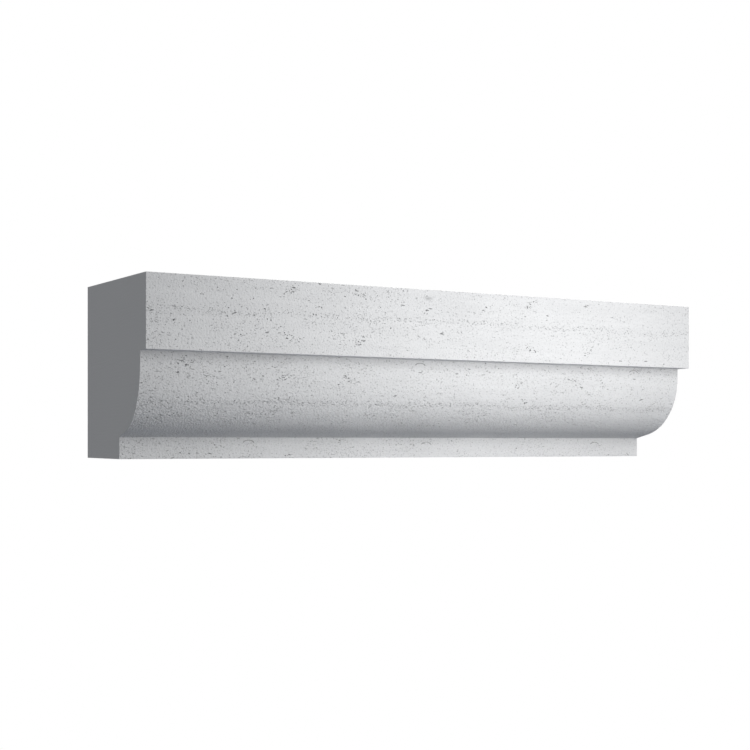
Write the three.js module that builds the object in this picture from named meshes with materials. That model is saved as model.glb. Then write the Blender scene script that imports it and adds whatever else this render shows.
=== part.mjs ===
// A straight length of stone cornice: a tall plain fascia, a rounded ovolo tucked under it and a plain foot.
// It is worked from one block, with a top that slopes up to the wall and ends sawn square.
// Millimetres, +Z up: the length runs along X, the front faces -Y and the flat back faces +Y.
// The origin is on the underside's plane, below the middle of the block.

import * as THREE from "three";

// Block
const LENGTH = 1000;
const FRONT_HEIGHT = 270; // underside to the fascia's upper arris
const TOP_RISE = 18; // weathered top, from the front arris up to the back

// How far each member stands out from the back face
const FASCIA_PROJECTION = 350;
const LIP_PROJECTION = 320;
const FOOT_PROJECTION = 205;

// Heights of the members, and the ovolo's round
const FASCIA_HEIGHT = 110.5;
const LIP_HEIGHT = 17.5; // short upright between the fascia's soffit and the round
const FOOT_HEIGHT = 34;
const NOSE_RADIUS = 103;
const NOSE_DIVISIONS = 24;

// Pale grey stone with a dry, matt face
const STONE_COLOUR = 0xdfe1e4;
const STONE_ROUGHNESS = 0.9;

// The round's soffit: a straight line from the foot's upper arris that runs into the round without a break.
function findSoffit(foot, centre) {
  const toCentre = centre.clone().sub(foot);
  const runLength = Math.sqrt(toCentre.lengthSq() - NOSE_RADIUS ** 2);
  const slope = toCentre.angle() - Math.atan2(NOSE_RADIUS, runLength);
  const end = new THREE.Vector2(Math.cos(slope), Math.sin(slope)).multiplyScalar(runLength).add(foot);
  return { slope, end };
}

// The section: x is the projection from the back face, y the height above the underside.
function drawSection() {
  const soffitHeight = FRONT_HEIGHT - FASCIA_HEIGHT;
  const foot = new THREE.Vector2(FOOT_PROJECTION, FOOT_HEIGHT);
  const centre = new THREE.Vector2(LIP_PROJECTION - NOSE_RADIUS, soffitHeight - LIP_HEIGHT);
  const soffit = findSoffit(foot, centre);

  const section = new THREE.Shape();
  section.moveTo(0, 0);
  section.lineTo(FOOT_PROJECTION, 0);
  section.lineTo(foot.x, foot.y);
  section.lineTo(soffit.end.x, soffit.end.y);
  section.absarc(centre.x, centre.y, NOSE_RADIUS, soffit.slope - Math.PI / 2, 0, false);
  section.lineTo(LIP_PROJECTION, soffitHeight);
  section.lineTo(FASCIA_PROJECTION, soffitHeight);
  section.lineTo(FASCIA_PROJECTION, FRONT_HEIGHT);
  section.lineTo(0, FRONT_HEIGHT + TOP_RISE);
  section.closePath();
  return section;
}

// The block: the section carried along the whole length, then stood with its front to -Y.
function makeCornice() {
  const geometry = new THREE.ExtrudeGeometry(drawSection(), {
    depth: LENGTH,
    bevelEnabled: false,
    curveSegments: NOSE_DIVISIONS,
  });
  geometry.translate(-FASCIA_PROJECTION / 2, 0, -LENGTH / 2);

  const stone = new THREE.MeshStandardMaterial({
    color: STONE_COLOUR,
    roughness: STONE_ROUGHNESS,
    metalness: 0,
  });
  const cornice = new THREE.Mesh(geometry, stone);
  cornice.name = "cornice_moulding";
  cornice.rotation.set(Math.PI / 2, 0, -Math.PI / 2, "ZYX");
  return cornice;
}

const part = new THREE.Group();
part.add(makeCornice());

export default part;
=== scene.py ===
import math

import bpy
import numpy as np
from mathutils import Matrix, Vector


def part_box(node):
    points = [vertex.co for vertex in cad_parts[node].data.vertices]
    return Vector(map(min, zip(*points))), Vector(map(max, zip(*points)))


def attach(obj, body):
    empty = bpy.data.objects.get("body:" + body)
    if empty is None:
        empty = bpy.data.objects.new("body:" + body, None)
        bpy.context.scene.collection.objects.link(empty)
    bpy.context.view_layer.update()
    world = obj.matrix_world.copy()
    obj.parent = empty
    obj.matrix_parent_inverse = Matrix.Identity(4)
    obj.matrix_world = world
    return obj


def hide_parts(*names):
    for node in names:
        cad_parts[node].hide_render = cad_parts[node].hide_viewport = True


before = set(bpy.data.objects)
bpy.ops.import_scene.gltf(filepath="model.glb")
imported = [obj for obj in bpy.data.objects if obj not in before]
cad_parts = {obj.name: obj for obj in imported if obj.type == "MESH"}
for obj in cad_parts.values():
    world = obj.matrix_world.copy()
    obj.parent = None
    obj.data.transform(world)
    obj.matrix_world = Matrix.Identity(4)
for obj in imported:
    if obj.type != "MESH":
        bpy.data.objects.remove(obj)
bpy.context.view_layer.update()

# The cornice length: one block of pale open-pored stone, lying on its bed by its own weight.
# Its front is worked along the block to a plain fascia, a rounded ovolo and a foot, and rubbed
# smooth. The back, the bed and the two ends are sawn flat, and the top slopes up to the wall.
MM = 0.001
block_low, block_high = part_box("cornice_moulding")
length = block_high.x - block_low.x
back = block_high.y
lip_projection = 320 * MM
foot_projection = 205 * MM
fascia_face = block_low.y
lip_face = back - lip_projection
foot_face = back - foot_projection
front_height = 270 * MM
fascia_height = 110.5 * MM
lip_height = 17.5 * MM
foot_height = 34 * MM
soffit_height = front_height - fascia_height
round_top = soffit_height - lip_height
round_radius = 103 * MM
round_steps = 40
face_step = 20 * MM
arris_ease = 0.3 * MM
arris_steps = 3
arris_angle = math.radians(30)


def section_outline():
    """The section's (y, z) points, anticlockwise from the top at the back, with long sides in steps."""
    foot = Vector((foot_face, foot_height))
    centre = Vector((lip_face + round_radius, round_top))
    to_foot = foot - centre
    run = math.sqrt(to_foot.length_squared - round_radius**2)
    sweep = math.atan2(-to_foot.y, -to_foot.x) - math.atan2(run, round_radius)
    corners = [
        Vector((back, block_high.z)),
        Vector((fascia_face, front_height)),
        Vector((fascia_face, soffit_height)),
        Vector((lip_face, soffit_height)),
    ]
    for step in range(round_steps + 1):
        turn = sweep * step / round_steps
        corners.append(centre - round_radius * Vector((math.cos(turn), math.sin(turn))))
    corners.extend((foot, Vector((foot_face, 0)), Vector((back, 0))))
    outline = []
    for start, end in zip(corners, corners[1:] + corners[:1]):
        parts = max(1, round((end - start).length / face_step))
        outline.extend(start.lerp(end, part / parts) for part in range(parts))
    return outline


def add_node(tree, kind, sockets=None, **options):
    """One node with its options set. A socket, named by identifier, takes a value or what feeds it."""
    made = tree.nodes.new(kind)
    for option, value in options.items():
        setattr(made, option, value)
    by_identifier = {socket.identifier: socket for socket in made.inputs}
    for identifier, value in (sockets or {}).items():
        if isinstance(value, bpy.types.NodeSocket):
            tree.links.new(value, by_identifier[identifier])
        else:
            by_identifier[identifier].default_value = value
    return made


def math_of(tree, operation, first, second=0.0, third=0.0):
    """The output of one Math node."""
    sockets = {"Value": first, "Value_001": second, "Value_002": third}
    return add_node(tree, "ShaderNodeMath", sockets, operation=operation).outputs["Value"]


def new_geometry_tree(name, inputs):
    """An empty tree with a geometry input, named number inputs and a geometry output."""
    tree = bpy.data.node_groups.new(name, "GeometryNodeTree")
    tree.interface.new_socket("Geometry", in_out="INPUT", socket_type="NodeSocketGeometry")
    for label, kind in inputs.items():
        tree.interface.new_socket(label, in_out="INPUT", socket_type="NodeSocket" + kind)
    tree.interface.new_socket("Geometry", in_out="OUTPUT", socket_type="NodeSocketGeometry")
    return tree, add_node(tree, "NodeGroupInput").outputs, add_node(tree, "NodeGroupOutput").inputs


def add_geometry_modifier(piece, tree, values):
    """Puts the tree on the piece, with its named inputs set by their identifiers."""
    modifier = piece.modifiers.new(tree.name, "NODES")
    modifier.node_group = tree
    for item in tree.interface.items_tree:
        if item.in_out == "INPUT" and item.name in values:
            modifier[item.identifier] = values[item.name]


def run_along_length():
    """The section carried along a straight line, with both ends closed."""
    tree, given, result = new_geometry_tree("cornice run", {"Length": "Float", "Cuts": "Int"})
    start = math_of(tree, "MULTIPLY", given["Length"], -0.5)
    line = add_node(
        tree,
        "GeometryNodeCurvePrimitiveLine",
        {
            "Start": add_node(tree, "ShaderNodeCombineXYZ", {"X": start}).outputs["Vector"],
            "Direction": (1, 0, 0),
            "Length": given["Length"],
        },
        mode="DIRECTION",
    )
    cut = add_node(
        tree, "GeometryNodeResampleCurve", {"Curve": line.outputs["Curve"], "Count": given["Cuts"]}
    )
    upright = add_node(
        tree, "GeometryNodeSetCurveTilt", {"Curve": cut.outputs["Curve"], "Tilt": math.pi}
    )
    section = add_node(tree, "GeometryNodeMeshToCurve", {"Mesh": given["Geometry"]})
    block = add_node(
        tree,
        "GeometryNodeCurveToMesh",
        {
            "Curve": upright.outputs["Curve"],
            "Profile Curve": section.outputs["Curve"],
            "Fill Caps": True,
        },
    )
    tree.links.new(block.outputs["Mesh"], result["Geometry"])
    return tree


outline = section_outline()
section_mesh = bpy.data.meshes.new("cornice")
corner_count = len(outline)
section_mesh.from_pydata(
    [(y, z, 0) for y, z in outline],
    [(corner, (corner + 1) % corner_count) for corner in range(corner_count)],
    [],
)
cornice = bpy.data.objects.new("cornice", section_mesh)
bpy.context.scene.collection.objects.link(cornice)
run_sizes = {"Length": length, "Cuts": round(length / face_step) + 1}
add_geometry_modifier(cornice, run_along_length(), run_sizes)

easing = cornice.modifiers.new("eased arrises", "BEVEL")
easing.width = arris_ease
easing.segments = arris_steps
easing.limit_method = "ANGLE"
easing.angle_limit = arris_angle

# Open pores of the stone. Each is a small lumpy hollow, longer along the bed than across it. They
# lie in slanting nests and along two beds, with finer ones scattered between, and thin out to the
# right. A few thin slits and dashes are the traces of shells.
bed_heights = (219 * MM, 86 * MM)
bed_half_height = 6 * MM
bed_wander = 16 * MM
wander_fineness = 9.0
nest_columns = ((-276 * MM, 1), (-160 * MM, -1), (159 * MM, 1), (279 * MM, -1))
nest_rows = ((256 * MM, 1), (183 * MM, -1), (125 * MM, 1))
nest_slant = math.radians(30)
nest_half_length = 14 * MM
nest_half_width = 5 * MM
nest_fade = (0.6, 1.2)
stray_nest_fineness = 46.0
stray_nest_fade = (0.67, 0.74)
patch_fineness = 22.0
patch_fade = (0.36, 0.66)
patch_share = (0.2, 2.0)
plain_face_share = 0.05
front_turn = (-0.15, -0.5)
right_share = 0.5

# Each class of pore has the number of points tried, the chance of a pore at one of them on plain
# stone, in a nest and on a bed, and how many times likelier it is at the left end and below the lip.
coarse_pores = {
    "Per square metre": 60000.0,
    "Scattered": 0.005,
    "Nested": 0.95,
    "Bedded": 0.02,
    "Leftward": 9.0,
    "Downward": 0.9,
    "Smallest": 0.75 * MM,
    "Largest": 1.5 * MM,
    "From arris": 1.2 * MM,
    "Sides": 8,
    "Seed": 3,
}
fine_pores = {
    "Per square metre": 60000.0,
    "Scattered": 0.20,
    "Nested": 0.80,
    "Bedded": 1.10,
    "Leftward": 2.6,
    "Downward": 1.6,
    "Smallest": 0.32 * MM,
    "Largest": 0.95 * MM,
    "From arris": 0.05 * MM,
    "Sides": 6,
    "Seed": 11,
}
draw_seeds = {"keep": 21, "size": 31, "stretch": 32, "width": 33, "turn": 34, "kind": 35}
small_pore_bias = 2.0
stretch_bias = 8.0
longest_stretch = 3.0
narrowest = 0.65
most_turn = 0.4
lump_kinds = 6
lump_fineness = 1.1
lump_shove = 2.2
pore_depth = 0.8
bowl_rings = 4
funnel_top = 1.6
shell_places = (
    (-289 * MM, foot_face, 25 * MM),
    (39 * MM, foot_face, 22 * MM),
    (400 * MM, foot_face, 22 * MM),
    (-36 * MM, lip_face, 150 * MM),
    (399 * MM, lip_face, 150 * MM),
)
dash_places = (
    (-84 * MM, fascia_face, 243 * MM),
    (-34 * MM, fascia_face, 240 * MM),
    (402 * MM, fascia_face, 169 * MM),
    (-36 * MM, lip_face, 139 * MM),
    (33 * MM, lip_face, 139 * MM),
    (401 * MM, lip_face, 139 * MM),
)
shell_traces = {"Shell": (9 * MM, 4.5 * MM, 9 * MM), "Dash": (4.2 * MM, 1.0 * MM, 0.8 * MM)}
shell_start = math.radians(5)
shell_sweep = math.radians(165)
shell_steps = 12
slit_share = 0.10
slit_sides = 6
dash_sides = 8
sharp_arris = math.radians(20)
smooth_limit = math.radians(12)
skin = 0.03 * MM
chip_corners = 200
# Painted shade in the pores: the colour darkens from the rim of each pore to its bottom, by depth.
rim_shade = 0.35
dark_depth = 0.9 * MM
square_on = 0.95


def remap(tree, value, from_low, from_high, to_low=0.0, to_high=1.0):
    """A value carried from one range to another and held at its ends."""
    sockets = {
        "Value": value,
        "From Min": from_low,
        "From Max": from_high,
        "To Min": to_low,
        "To Max": to_high,
    }
    return add_node(tree, "ShaderNodeMapRange", sockets).outputs["Result"]


def vector_math(tree, operation, first, second=(0, 0, 0), output="Vector"):
    """An output of one Vector Math node."""
    sockets = {"Vector": first, "Vector_001": second}
    return add_node(tree, "ShaderNodeVectorMath", sockets, operation=operation).outputs[output]


def parts_of(tree, vector):
    """The three parts of a vector."""
    return add_node(tree, "ShaderNodeSeparateXYZ", {"Vector": vector}).outputs


def random_number(tree, low, high, draw):
    """A random number for each point, from one of the draws."""
    sockets = {"Min_001": low, "Max_001": high, "Seed": draw_seeds[draw]}
    return add_node(tree, "FunctionNodeRandomValue", sockets, data_type="FLOAT").outputs[1]


def noise_of(tree, vector, fineness, detail=2.0, pattern=0.0):
    """A Noise node that reads the vector. The pattern number tells one from another."""
    sockets = {"Vector": vector, "W": pattern, "Scale": fineness, "Detail": detail}
    return add_node(tree, "ShaderNodeTexNoise", sockets, noise_dimensions="4D").outputs


def stretched(tree, vector, factors):
    """The vector with each axis multiplied, to draw a pattern out along the bed."""
    return vector_math(tree, "MULTIPLY", vector, factors)


def patch_of(tree, place):
    """Broad patches, in which the stone is more open or closer."""
    return noise_of(tree, stretched(tree, place, (0.6, 1, 1)), patch_fineness)["Fac"]


def bed_of(tree, place, height):
    """One on the line of a bed, falling to nothing at its edges. The line wanders a little."""
    wander = noise_of(tree, stretched(tree, place, (1, 0.2, 0.2)), wander_fineness, pattern=4.0)["Fac"]
    off_line = math_of(tree, "SUBTRACT", wander, 0.5)
    waved = math_of(tree, "MULTIPLY_ADD", off_line, bed_wander, height)
    in_beds = 0.0
    for bed in bed_heights:
        off_bed = math_of(tree, "ABSOLUTE", math_of(tree, "SUBTRACT", waved, bed))
        in_beds = math_of(tree, "ADD", remap(tree, off_bed, 0.0, bed_half_height, 1.0, 0.0), in_beds)
    return in_beds


def nests_of(tree, place):
    """One in the middle of each nest, falling to nothing at its edge."""
    rise = math.sin(nest_slant)
    reach = math.cos(nest_slant)
    in_nests = 0.0
    for along, column_lean in nest_columns:
        for height, row_lean in nest_rows:
            lean = column_lean * row_lean
            lengthwise = (reach / nest_half_length, 0, lean * rise / nest_half_length)
            crosswise = (-lean * rise / nest_half_width, 0, reach / nest_half_width)
            off = vector_math(tree, "SUBTRACT", place, (along, 0, height))
            square = 0.0
            for axis in (lengthwise, crosswise):
                part = vector_math(tree, "DOT_PRODUCT", off, axis, "Value")
                square = math_of(tree, "MULTIPLY_ADD", part, part, square)
            in_nests = math_of(tree, "ADD", remap(tree, square, *nest_fade, 1.0, 0.0), in_nests)
    return in_nests


def share_of_face(tree, normal):
    """One on the worked front, little on the top, bed and back, and nothing on the sawn ends."""
    facing = parts_of(tree, normal)
    front = remap(tree, facing["Y"], *front_turn, plain_face_share, 1.0)
    off_end = math_of(tree, "LESS_THAN", math_of(tree, "ABSOLUTE", facing["X"]), 0.5)
    return math_of(tree, "MULTIPLY", front, off_end)


def chance_of_pore(tree, given, normal):
    """How likely a pore is at each point: scattered in patches, in a nest or along a bed."""
    place = add_node(tree, "GeometryNodeInputPosition").outputs["Position"]
    along, _, height = parts_of(tree, place)
    openness = remap(tree, patch_of(tree, place), *patch_fade, *patch_share)
    chance = math_of(tree, "MULTIPLY", given["Scattered"], openness)
    drawn_out = stretched(tree, place, (0.8, 1, 1))
    stray = noise_of(tree, drawn_out, stray_nest_fineness, detail=1.0, pattern=8.0)["Fac"]
    in_nest = math_of(tree, "ADD", remap(tree, stray, *stray_nest_fade), nests_of(tree, place))
    chance = math_of(tree, "MULTIPLY_ADD", given["Nested"], in_nest, chance)
    chance = math_of(tree, "MULTIPLY_ADD", given["Bedded"], bed_of(tree, place, height), chance)
    for share in (
        remap(tree, height, round_top, soffit_height, given["Downward"], 1.0),
        remap(tree, along, block_low.x, 0.0, given["Leftward"], 1.0),
        remap(tree, along, 0.0, block_high.x, 1.0, right_share),
        share_of_face(tree, normal),
    ):
        chance = math_of(tree, "MULTIPLY", chance, share)
    return chance


def edge_bend(tree):
    """The angle between the two faces at each edge."""
    return add_node(tree, "GeometryNodeInputMeshEdgeAngle").outputs["Unsigned Angle"]


def pore_points(tree, given):
    """Where the pores lie and how each faces: points spread over the block and thinned by chance."""
    spread = add_node(
        tree,
        "GeometryNodeDistributePointsOnFaces",
        {"Mesh": given["Geometry"], "Density": given["Per square metre"], "Seed": given["Seed"]},
    )
    normal = spread.outputs["Normal"]
    chance = chance_of_pore(tree, given, normal)
    unlikely = math_of(tree, "GREATER_THAN", random_number(tree, 0.0, 1.0, "keep"), chance)
    is_arris = math_of(tree, "GREATER_THAN", edge_bend(tree), sharp_arris)
    arrises = add_node(
        tree,
        "GeometryNodeSeparateGeometry",
        {"Geometry": given["Geometry"], "Selection": is_arris},
        domain="EDGE",
    )
    to_arris = add_node(
        tree, "GeometryNodeProximity", {"Target": arrises.outputs["Selection"]}, target_element="EDGES"
    )
    too_near = math_of(tree, "LESS_THAN", to_arris.outputs["Distance"], given["From arris"])
    kept = add_node(
        tree,
        "GeometryNodeDeleteGeometry",
        {
            "Geometry": spread.outputs["Points"],
            "Selection": math_of(tree, "MAXIMUM", unlikely, too_near),
        },
    )
    return kept.outputs["Geometry"], normal


def laid_on_face(tree, normal):
    """A rotation that lays a shape flat on the face, along the block, with a small turn of its own."""
    laid = add_node(
        tree,
        "FunctionNodeAxesToRotation",
        {"Primary Axis": normal, "Secondary Axis": (1, 0, 0)},
        primary_axis="Z",
        secondary_axis="X",
    )
    spin = add_node(
        tree, "ShaderNodeCombineXYZ", {"Z": random_number(tree, -most_turn, most_turn, "turn")}
    )
    turn = add_node(tree, "FunctionNodeEulerToRotation", {"Euler": spin.outputs["Vector"]})
    turned = add_node(
        tree,
        "FunctionNodeRotateRotation",
        {"Rotation": laid.outputs["Rotation"], "Rotate By": turn.outputs["Rotation"]},
        rotation_space="LOCAL",
    )
    return turned.outputs["Rotation"]


def bowl(tree, sides):
    """A ball of unit radius, of which the lower half makes the hollow."""
    sockets = {"Segments": sides, "Rings": bowl_rings, "Radius": 1.0}
    return add_node(tree, "GeometryNodeMeshUVSphere", sockets).outputs["Mesh"]


def funnel(tree, sides):
    """A pointed hollow of few faces, of unit depth and of unit radius where it meets the face."""
    cone = add_node(
        tree,
        "GeometryNodeMeshCone",
        {"Vertices": sides, "Radius Top": funnel_top, "Radius Bottom": 0.0, "Depth": funnel_top},
    )
    sunk = add_node(
        tree, "GeometryNodeTransform", {"Geometry": cone.outputs["Mesh"], "Translation": (0, 0, -1)}
    )
    return sunk.outputs["Geometry"]


def lumpy_hollows(tree, plain):
    """A few uneven kinds of a plain hollow of unit size, to be picked from at random."""
    kinds = add_node(tree, "GeometryNodeJoinGeometry")
    for kind in range(lump_kinds):
        place = add_node(tree, "GeometryNodeInputPosition").outputs["Position"]
        lumps = noise_of(tree, place, lump_fineness, detail=1.0, pattern=7.0 * kind + 1.5)["Color"]
        centred = vector_math(tree, "SUBTRACT", lumps, (0.5, 0.5, 0.5))
        shove = vector_math(tree, "MULTIPLY", centred, (lump_shove, lump_shove, lump_shove))
        lump = add_node(tree, "GeometryNodeSetPosition", {"Geometry": plain, "Offset": shove})
        one = add_node(tree, "GeometryNodeGeometryToInstance", {"Geometry": lump.outputs["Geometry"]})
        tree.links.new(one.outputs["Instances"], kinds.inputs["Geometry"])
    return kinds.outputs["Geometry"]


def pore_cutters(name, plain_hollow):
    """The hollows of one class of pore, set on the faces of the block."""
    inputs = {label: "Int" if label in ("Sides", "Seed") else "Float" for label in coarse_pores}
    tree, given, result = new_geometry_tree(name, inputs)
    points, normal = pore_points(tree, given)
    size = math_of(tree, "POWER", random_number(tree, 0.0, 1.0, "size"), small_pore_bias)
    radius = add_node(
        tree,
        "ShaderNodeMix",
        {"Factor_Float": size, "A_Float": given["Smallest"], "B_Float": given["Largest"]},
    ).outputs[0]
    stretch = math_of(tree, "POWER", random_number(tree, 0.0, 1.0, "stretch"), stretch_bias)
    stretch = math_of(tree, "MULTIPLY_ADD", stretch, longest_stretch, 1.0)
    along = math_of(tree, "MULTIPLY", radius, stretch)
    across = math_of(tree, "MULTIPLY", radius, random_number(tree, narrowest, 1.0, "width"))
    deep = math_of(tree, "MULTIPLY", radius, pore_depth)
    scale = add_node(tree, "ShaderNodeCombineXYZ", {"X": along, "Y": across, "Z": deep})
    sockets = {"Min_002": 0, "Max_002": lump_kinds - 1, "Seed": draw_seeds["kind"]}
    pick = add_node(tree, "FunctionNodeRandomValue", sockets, data_type="INT")
    placed = add_node(
        tree,
        "GeometryNodeInstanceOnPoints",
        {
            "Points": points,
            "Instance": lumpy_hollows(tree, plain_hollow(tree, given["Sides"])),
            "Pick Instance": True,
            "Instance Index": pick.outputs[2],
            "Rotation": laid_on_face(tree, normal),
            "Scale": scale.outputs["Vector"],
        },
    )
    tree.links.new(placed.outputs["Instances"], result["Geometry"])
    return tree


def shell_cutters():
    """Thin curved slits where a shell was cut through, and short dashes, in the front's uprights."""
    tree, given, result = new_geometry_tree("shell cutters", {"Shell": "Vector", "Dash": "Vector"})
    arc = add_node(
        tree,
        "GeometryNodeCurveArc",
        {
            "Resolution": shell_steps,
            "Radius": 1.0,
            "Start Angle": shell_start,
            "Sweep Angle": shell_sweep,
        },
    )
    round_hole = add_node(
        tree, "GeometryNodeCurvePrimitiveCircle", {"Resolution": slit_sides, "Radius": slit_share}
    )
    slit = add_node(
        tree,
        "GeometryNodeCurveToMesh",
        {
            "Curve": arc.outputs["Curve"],
            "Profile Curve": round_hole.outputs["Curve"],
            "Fill Caps": True,
        },
    )
    traces = add_node(tree, "GeometryNodeJoinGeometry")
    for shape, size, places in (
        (slit.outputs["Mesh"], given["Shell"], shell_places),
        (bowl(tree, dash_sides), given["Dash"], dash_places),
    ):
        for place in places:
            sockets = {
                "Geometry": shape,
                "Translation": place,
                "Rotation": (math.pi / 2, 0, 0),
                "Scale": size,
            }
            laid = add_node(tree, "GeometryNodeTransform", sockets)
            tree.links.new(laid.outputs["Geometry"], traces.inputs["Geometry"])
    tree.links.new(traces.outputs["Geometry"], result["Geometry"])
    return tree


def without_chips(tree, geometry):
    """The geometry less any chip that neighbouring pores have cut loose."""
    island = add_node(tree, "GeometryNodeInputMeshIsland").outputs["Island Index"]
    sockets = {"Value": 1.0, "Group Index": island}
    corners = add_node(tree, "GeometryNodeAccumulateField", sockets, data_type="FLOAT", domain="POINT")
    loose = math_of(tree, "LESS_THAN", corners.outputs["Total"], chip_corners)
    sockets = {"Geometry": geometry, "Selection": loose}
    return add_node(tree, "GeometryNodeDeleteGeometry", sockets, domain="POINT").outputs["Geometry"]


def stored(tree, geometry, name, value, domain):
    """The geometry with a number kept on it under a name, for the finish to read."""
    sockets = {"Geometry": geometry, "Name": name, "Value": value}
    return add_node(
        tree, "GeometryNodeStoreNamedAttribute", sockets, data_type="FLOAT", domain=domain
    ).outputs["Geometry"]


def smoothed(tree, geometry, pore):
    """The geometry shaded smooth, but crisp at the arrises and round the rim of each pore."""
    smooth = add_node(tree, "GeometryNodeSetShadeSmooth", {"Geometry": geometry}, domain="FACE")
    limit = remap(tree, pore, 0.9, 1.0, smooth_limit, math.pi)
    on_rim = math_of(tree, "COMPARE", pore, 0.5, 0.4)
    sharp = math_of(tree, "MAXIMUM", on_rim, math_of(tree, "GREATER_THAN", edge_bend(tree), limit))
    sockets = {"Geometry": smooth.outputs["Geometry"], "Selection": sharp, "Shade Smooth": False}
    return add_node(tree, "GeometryNodeSetShadeSmooth", sockets, domain="EDGE").outputs["Geometry"]


def cut_pores(material):
    """The block with its pores cut, each pore given painted shade by its depth and each sawn face marked.
    """
    tree, given, result = new_geometry_tree("open pores", {})
    sockets = {"Mesh 1": given["Geometry"]}
    cut = add_node(
        tree, "GeometryNodeMeshBoolean", sockets, operation="DIFFERENCE", solver="MANIFOLD"
    )
    for cutters, values in (
        (pore_cutters("coarse pores", bowl), coarse_pores),
        (pore_cutters("fine pores", funnel), fine_pores),
        (shell_cutters(), shell_traces),
    ):
        group = add_node(tree, "GeometryNodeGroup", node_tree=cutters)
        tree.links.new(given["Geometry"], group.inputs["Geometry"])
        for label, value in values.items():
            group.inputs[label].default_value = value
        tree.links.new(group.outputs["Geometry"], cut.inputs["Mesh 2"])

    depth = add_node(
        tree, "GeometryNodeProximity", {"Target": given["Geometry"]}, target_element="FACES"
    ).outputs["Distance"]
    block = without_chips(tree, cut.outputs["Mesh"])
    block = stored(tree, block, "pore", math_of(tree, "GREATER_THAN", depth, skin), "FACE")
    kept_pore = add_node(
        tree, "GeometryNodeInputNamedAttribute", {"Name": "pore"}, data_type="FLOAT"
    )
    pore = kept_pore.outputs[0]
    # Painted shade: each pore's corners are darkened the deeper they lie below the face.
    shade = math_of(tree, "MULTIPLY", pore, remap(tree, depth, 0.0, dark_depth, rim_shade, 1.0))
    block = stored(tree, block, "painted_depth_shade", shade, "CORNER")
    facing = parts_of(tree, add_node(tree, "GeometryNodeInputNormal").outputs["Normal"])
    on_end = math_of(tree, "GREATER_THAN", math_of(tree, "ABSOLUTE", facing["X"]), square_on)
    on_back = math_of(tree, "GREATER_THAN", facing["Y"], square_on)
    block = stored(tree, block, "sawn", math_of(tree, "MAXIMUM", on_end, on_back), "FACE")

    sockets = {"Geometry": smoothed(tree, block, pore)}
    whole = add_node(tree, "GeometryNodeRealizeInstances", sockets)
    sockets = {"Geometry": whole.outputs["Geometry"], "Material": material}
    finished = add_node(tree, "GeometryNodeSetMaterial", sockets)
    tree.links.new(finished.outputs["Geometry"], result["Geometry"])
    return tree


# Pale grey stone, dry and matt: a fine sandy grain, faint cloudy patches and streaks along the bed,
# specks too small to be cut, one dark smudge, and painted shade in the pores, darker the deeper they
# go. The sawn faces keep the marks of the saw, deeper on the back than on the ends.
clean_stone = (0.690, 0.695, 0.706, 1)
shaded_stone = (0.634, 0.639, 0.650, 1)
speck_stone = (0.40, 0.404, 0.411, 1)
# The colour of the painted shade at the bottom of a pore.
painted_shade_in_pores = (0.21, 0.213, 0.218, 1)
cloud_fineness = 9.0
streak_fineness = 120.0
grain_fineness = 320.0
dust_fineness = 430.0
saw_fineness = 260.0
cloud_share = 0.3
streak_share = 0.3
grain_share = 0.4
shade_fade = (0.40, 0.60)
dust_in_patches = 0.12
dust_on_beds = 0.06
dust_below_lip = 0.02
speck_fade = (0.60, 0.72)
speck_dip = -0.3
smudge_place = (-37.6 * MM, fascia_face, 256.2 * MM)
smudge_reach = (13 * MM, 3 * MM, 5 * MM)
smudge_grain = 1.2
smudge_fade = (0.7, 1.5)
smudge_strength = 0.8
sawn_grain = 0.2
rough_soffit = (50 * MM, 100 * MM)
back_margin = (2 * MM, 1 * MM)
end_saw_depth = 0.1
back_saw_depth = 0.3
relief_depth = 1.5 * MM


def mix_colour(tree, factor, first, second):
    """Two colours mixed by a factor."""
    sockets = {"Factor_Float": factor, "A_Color": first, "B_Color": second}
    return add_node(tree, "ShaderNodeMix", sockets, data_type="RGBA").outputs[2]


def specks_of(tree, place, height, rubbed):
    """One in each speck, thicker in open patches, along the beds and below the lip."""
    dust = noise_of(tree, stretched(tree, place, (0.75, 1, 1)), dust_fineness, pattern=6.0)["Fac"]
    patch = math_of(tree, "SUBTRACT", patch_of(tree, place), 0.5)
    dust = math_of(tree, "MULTIPLY_ADD", patch, dust_in_patches, dust)
    dust = math_of(tree, "MULTIPLY_ADD", bed_of(tree, place, height), dust_on_beds, dust)
    lower = remap(tree, height, round_top, soffit_height, dust_below_lip, 0.0)
    dust = math_of(tree, "ADD", lower, dust)
    return math_of(tree, "MULTIPLY", remap(tree, dust, *speck_fade), rubbed)


def smudge_of(tree, place, grain):
    """The strength of the smudge, ragged with the grain."""
    off = vector_math(tree, "SUBTRACT", place, smudge_place)
    off = stretched(tree, off, tuple(1 / reach for reach in smudge_reach))
    distance = vector_math(tree, "LENGTH", off, output="Value")
    distance = math_of(tree, "MULTIPLY_ADD", grain, smudge_grain, distance)
    return remap(tree, distance, *smudge_fade, smudge_strength, 0.0)


def tone_of(tree, place, grain, speck, rubbed):
    """The colour of the stone, with its cloudy patches, streaks, specks, smudge and the painted shade in
    its pores.
    """
    cloud = noise_of(tree, place, cloud_fineness, detail=4.0)["Fac"]
    drawn_out = stretched(tree, place, (0.05, 0.3, 1))
    streak = noise_of(tree, drawn_out, streak_fineness, detail=3.0, pattern=2.0)["Fac"]
    shade = math_of(tree, "MULTIPLY", cloud, cloud_share)
    shade = math_of(tree, "MULTIPLY_ADD", streak, streak_share, shade)
    shade = math_of(tree, "MULTIPLY_ADD", math_of(tree, "MULTIPLY", grain, rubbed), grain_share, shade)
    in_pore = add_node(tree, "ShaderNodeAttribute", attribute_name="painted_depth_shade").outputs["Fac"]
    tone = mix_colour(tree, remap(tree, shade, *shade_fade), clean_stone, shaded_stone)
    tone = mix_colour(tree, speck, tone, speck_stone)
    tone = mix_colour(tree, smudge_of(tree, place, grain), tone, speck_stone)
    # The pores take their painted shade, darker with depth.
    return mix_colour(tree, in_pore, tone, painted_shade_in_pores)


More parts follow.
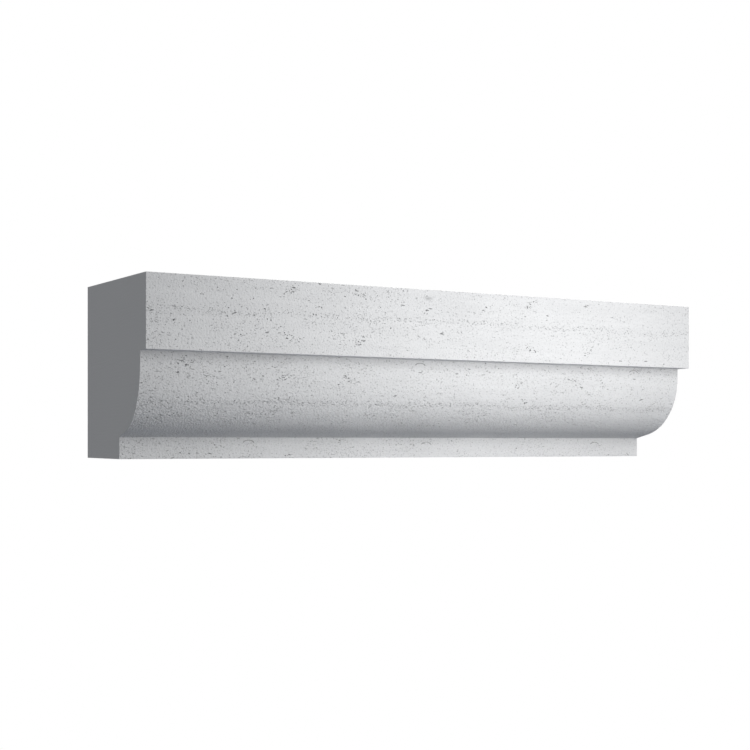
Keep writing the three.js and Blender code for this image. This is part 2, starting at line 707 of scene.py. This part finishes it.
def relief_of(tree, place, grain, speck, sawn, rubbed):
    """The grain as a bump, rougher on the round's soffit, with the marks of the saw on sawn faces."""
    _, inward, height = parts_of(tree, place)
    rise = math_of(tree, "MULTIPLY_ADD", speck, speck_dip, grain)
    rise = math_of(tree, "MULTIPLY", rise, remap(tree, rubbed, 0.0, 1.0, sawn_grain, 1.0))
    above_foot = math_of(tree, "GREATER_THAN", height, foot_height + arris_ease)
    rougher = math_of(tree, "MULTIPLY", remap(tree, height, *rough_soffit, 1.0, 0.0), above_foot)
    rougher = math_of(tree, "MULTIPLY", rougher, rubbed)
    rise = math_of(tree, "MULTIPLY_ADD", rise, rougher, rise)
    drawn_out = stretched(tree, place, (0.03, 0.03, 1))
    saw_mark = noise_of(tree, drawn_out, saw_fineness, pattern=9.0)["Fac"]
    near_back = (back - margin for margin in back_margin)
    saw_depth = remap(tree, inward, *near_back, end_saw_depth, back_saw_depth)
    saw_depth = math_of(tree, "MULTIPLY", saw_depth, sawn)
    rise = math_of(tree, "MULTIPLY_ADD", saw_mark, saw_depth, rise)
    sockets = {"Strength": 1.0, "Distance": relief_depth, "Height": rise}
    return add_node(tree, "ShaderNodeBump", sockets).outputs["Normal"]


def pale_stone():
    """The finish of the block."""
    material = bpy.data.materials.new("pale stone")
    material.use_nodes = True
    tree = material.node_tree
    surface = tree.nodes["Principled BSDF"].inputs
    place = add_node(tree, "ShaderNodeTexCoord").outputs["Object"]
    sawn = add_node(tree, "ShaderNodeAttribute", attribute_name="sawn").outputs["Fac"]
    rubbed = math_of(tree, "SUBTRACT", 1.0, sawn)
    grain = noise_of(tree, place, grain_fineness, pattern=5.0)["Fac"]
    speck = specks_of(tree, place, parts_of(tree, place)["Z"], rubbed)
    tree.links.new(tone_of(tree, place, grain, speck, rubbed), surface["Base Color"])
    tree.links.new(relief_of(tree, place, grain, speck, sawn, rubbed), surface["Normal"])
    surface["Roughness"].default_value = 0.92
    surface["Specular IOR Level"].default_value = 0.2
    return material


add_geometry_modifier(cornice, cut_pores(pale_stone()), {})
finished_cornice = cornice.evaluated_get(bpy.context.evaluated_depsgraph_get())
cornice.data = bpy.data.meshes.new_from_object(finished_cornice)
cornice.modifiers.clear()
bpy.data.meshes.remove(section_mesh)

# The map for the stone's finish: the section unrolled down a square sheet with the worked front drawn
# larger, and the two sawn ends side by side above it.
front_enlarged = 2.0
end_strip = 0.12
map_gap = 0.004
end_facing = 0.7


def girth_of(points):
    """How far round the section each (y, z) point lies, from the top at the back, and the whole girth."""
    places = np.array(outline)
    nearest = np.full(len(points), np.inf)
    girth = np.zeros(len(points))
    reached = 0.0
    for start, end in zip(places, np.roll(places, -1, axis=0)):
        step = end - start
        middle = (start + end) / 2
        on_front = 0 < middle[1] < front_height and middle[0] < (foot_face + back) / 2
        drawn = np.linalg.norm(step) * (front_enlarged if on_front else 1.0)
        share = np.clip((points - start) @ step / (step @ step), 0, 1)
        gap = np.linalg.norm(points - start - share[:, None] * step, axis=1)
        nearer = gap < nearest
        girth[nearer] = reached + share[nearer] * drawn
        nearest = np.minimum(nearest, gap)
        reached += drawn
    return girth, reached


def values_of(items, name, width=1):
    """One property of every item in a mesh as an array."""
    found = np.zeros(len(items) * width, np.float32)
    items.foreach_get(name, found)
    return found.reshape(-1, width) if width > 1 else found


def unroll(mesh):
    """Lays the mesh out on the sheet."""
    corners_of_face = values_of(mesh.polygons, "loop_total").astype(int)
    corner_face = np.repeat(np.arange(len(mesh.polygons)), corners_of_face)
    corner_vertex = values_of(mesh.loops, "vertex_index").astype(int)
    place = values_of(mesh.vertices, "co", 3)[corner_vertex]
    centre = values_of(mesh.polygons, "center", 3)
    facing = values_of(mesh.polygons, "normal", 3)[:, 0]
    in_pore = values_of(mesh.attributes["pore"].data, "value") > 0.5
    at_end = np.abs(centre[:, 0]) > length / 2 - arris_ease
    on_end = ((np.abs(facing) > end_facing) & ~in_pore & at_end)[corner_face]
    along = (place[:, 0] - block_low.x) / length
    girth, whole = girth_of(place[:, 1:])
    middle = girth_of(centre[:, 1:])[0][corner_face]
    girth += whole * np.round((middle - girth) / whole)
    deep = (place[:, 1] - block_low.y) / (block_high.y - block_low.y)
    high = place[:, 2] / block_high.z
    end_across = np.where(along < 0.5, 1 - deep, 1 + deep) / 2
    end_up = 1 - end_strip * (1 - high)
    across = np.where(on_end, end_across, along)
    up = np.where(on_end, end_up, (1 - end_strip - map_gap) * (1 - girth / whole))
    sheet = np.stack([across, up], axis=1) * (1 - 2 * map_gap) + map_gap
    layer = mesh.uv_layers.new(name="OFBake", do_init=False)
    layer.uv.foreach_set("vector", sheet.astype(np.float32).ravel())


unroll(cornice.data)
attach(cornice, "root")
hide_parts("cornice_moulding")

# The studio floor: a wide white sheet under the block, lit from within so that it stays white to its
# far edge. It throws no light on the block and takes no shadow from it.
floor_reach = 60.0
floor_level = -0.5 * MM
floor_mesh = bpy.data.meshes.new("floor")
floor_mesh.from_pydata(
    [(x * floor_reach, y * floor_reach, floor_level) for x, y in ((-1, -1), (1, -1), (1, 1), (-1, 1))],
    [],
    [(0, 1, 2, 3)],
)
floor = bpy.data.objects.new("floor", floor_mesh)
bpy.context.scene.collection.objects.link(floor)
floor_paint = bpy.data.materials.new("pale floor")
floor_paint.use_nodes = True
paint = floor_paint.node_tree.nodes["Principled BSDF"].inputs
paint["Base Color"].default_value = (0, 0, 0, 1)
paint["Roughness"].default_value = 1.0
paint["Specular IOR Level"].default_value = 0.0
paint["Emission Color"].default_value = (1, 1, 1, 1)
paint["Emission Strength"].default_value = 1.0
floor_mesh.materials.append(floor_paint)
floor.visible_shadow = False
floor.visible_diffuse = False
floor.visible_glossy = False

# The studio light: a tall soft box in front of the block and right of its middle, low enough to reach
# under the fascia, a broad one behind for the back, the top and the right end, and a dim room with
# cool light from straight below.
box_tint = (1, 0.996, 0.985)
room_tint = (0.966, 0.98, 0.999, 1)
below_tint = (0.88, 0.97, 1.14, 1)
horizon = (-0.05, 0.05)
room_levels = (0.06, 0.465)
below_edge = (-0.85, -0.75)
below_level = 0.28


def soft_box(name, place, aim, width, height, power):
    """A soft box at a place, turned to its aim, with places and sizes in millimetres."""
    box = bpy.data.lights.new(name, "AREA")
    box.shape = "RECTANGLE"
    box.size = width * MM
    box.size_y = height * MM
    box.energy = power
    box.color = box_tint
    stand = bpy.data.objects.new(name, box)
    bpy.context.scene.collection.objects.link(stand)
    stand.location = Vector(place) * MM
    stand.rotation_euler = (Vector(aim) - Vector(place)).to_track_quat("-Z", "Y").to_euler()
    stand.visible_camera = False


soft_box("front_box", place=(155, -1064, 104), aim=(321, -175, 150), width=377, height=1228, power=11.6)
soft_box("rear_box", place=(1300, 1500, 1200), aim=(0, 175, 150), width=1200, height=900, power=30)

world = bpy.data.worlds.new("white room")
bpy.context.scene.world = world
world.use_nodes = True
sky = world.node_tree
sky.nodes.clear()
direction = add_node(sky, "ShaderNodeTexCoord").outputs["Generated"]
upward = parts_of(sky, direction)["Z"]
around = remap(sky, upward, *horizon, *room_levels)
below = remap(sky, upward, *below_edge, 1.0, 0.0)
level = math_of(sky, "MULTIPLY_ADD", below, below_level, around)
tint = mix_colour(sky, below, room_tint, below_tint)
dim = add_node(sky, "ShaderNodeBackground", {"Color": tint, "Strength": level})
white = add_node(sky, "ShaderNodeBackground", {"Color": (1, 1, 1, 1), "Strength": 1.0})
seen = add_node(sky, "ShaderNodeLightPath").outputs["Is Camera Ray"]
room = add_node(
    sky,
    "ShaderNodeMixShader",
    {"Fac": seen, "Shader": dim.outputs["Background"], "Shader_001": white.outputs["Background"]},
)
add_node(sky, "ShaderNodeOutputWorld", {"Surface": room.outputs["Shader"]})
bpy.context.scene.view_settings.view_transform = "Standard"

# The camera: level, a little above the floor and to the left, with the lens raised so that the block
# sits low in the picture as it does in the photograph.
camera_place = Vector((-982.9, -1857.2, 24.4)) * MM
camera_turn = math.radians(-26.79)
camera_data = bpy.data.cameras.new("camera")
camera_data.sensor_width = 36
camera_data.lens = 57.80
camera_data.shift_y = 0.0911
camera = bpy.data.objects.new("camera", camera_data)
bpy.context.scene.collection.objects.link(camera)
camera.location = camera_place
camera.rotation_euler = (math.pi / 2, 0, camera_turn)
bpy.context.scene.camera = camera
